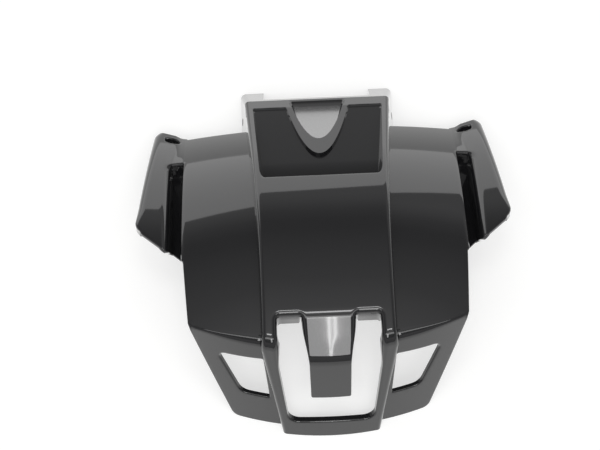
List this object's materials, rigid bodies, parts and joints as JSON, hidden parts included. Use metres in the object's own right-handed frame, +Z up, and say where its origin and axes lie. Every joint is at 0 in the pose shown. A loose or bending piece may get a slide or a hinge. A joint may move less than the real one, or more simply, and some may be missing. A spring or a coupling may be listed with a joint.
{
  "type": "scooter front panel",
  "caption": "Glossy black moulded scooter front panel: a swept hood with a raised centre band, a dished rear land, side ears, chin windows and a slotted nose.",
  "frame": {"origin": "middle of the panel's footprint, on the surface that the chin's foot and the rear legs stand on", "axes": "+X to the right seen from the front, +Y from the chin back to the rear legs, +Z up out of the hood"},
  "size_m": [0.369, 0.3798, 0.1406],
  "materials": {
    "panel_plastic": "gloss black, moulded in colour"
  },
  "bodies": {
    "root": {"front_panel": "panel_plastic"}
  },
  "joints": []
}
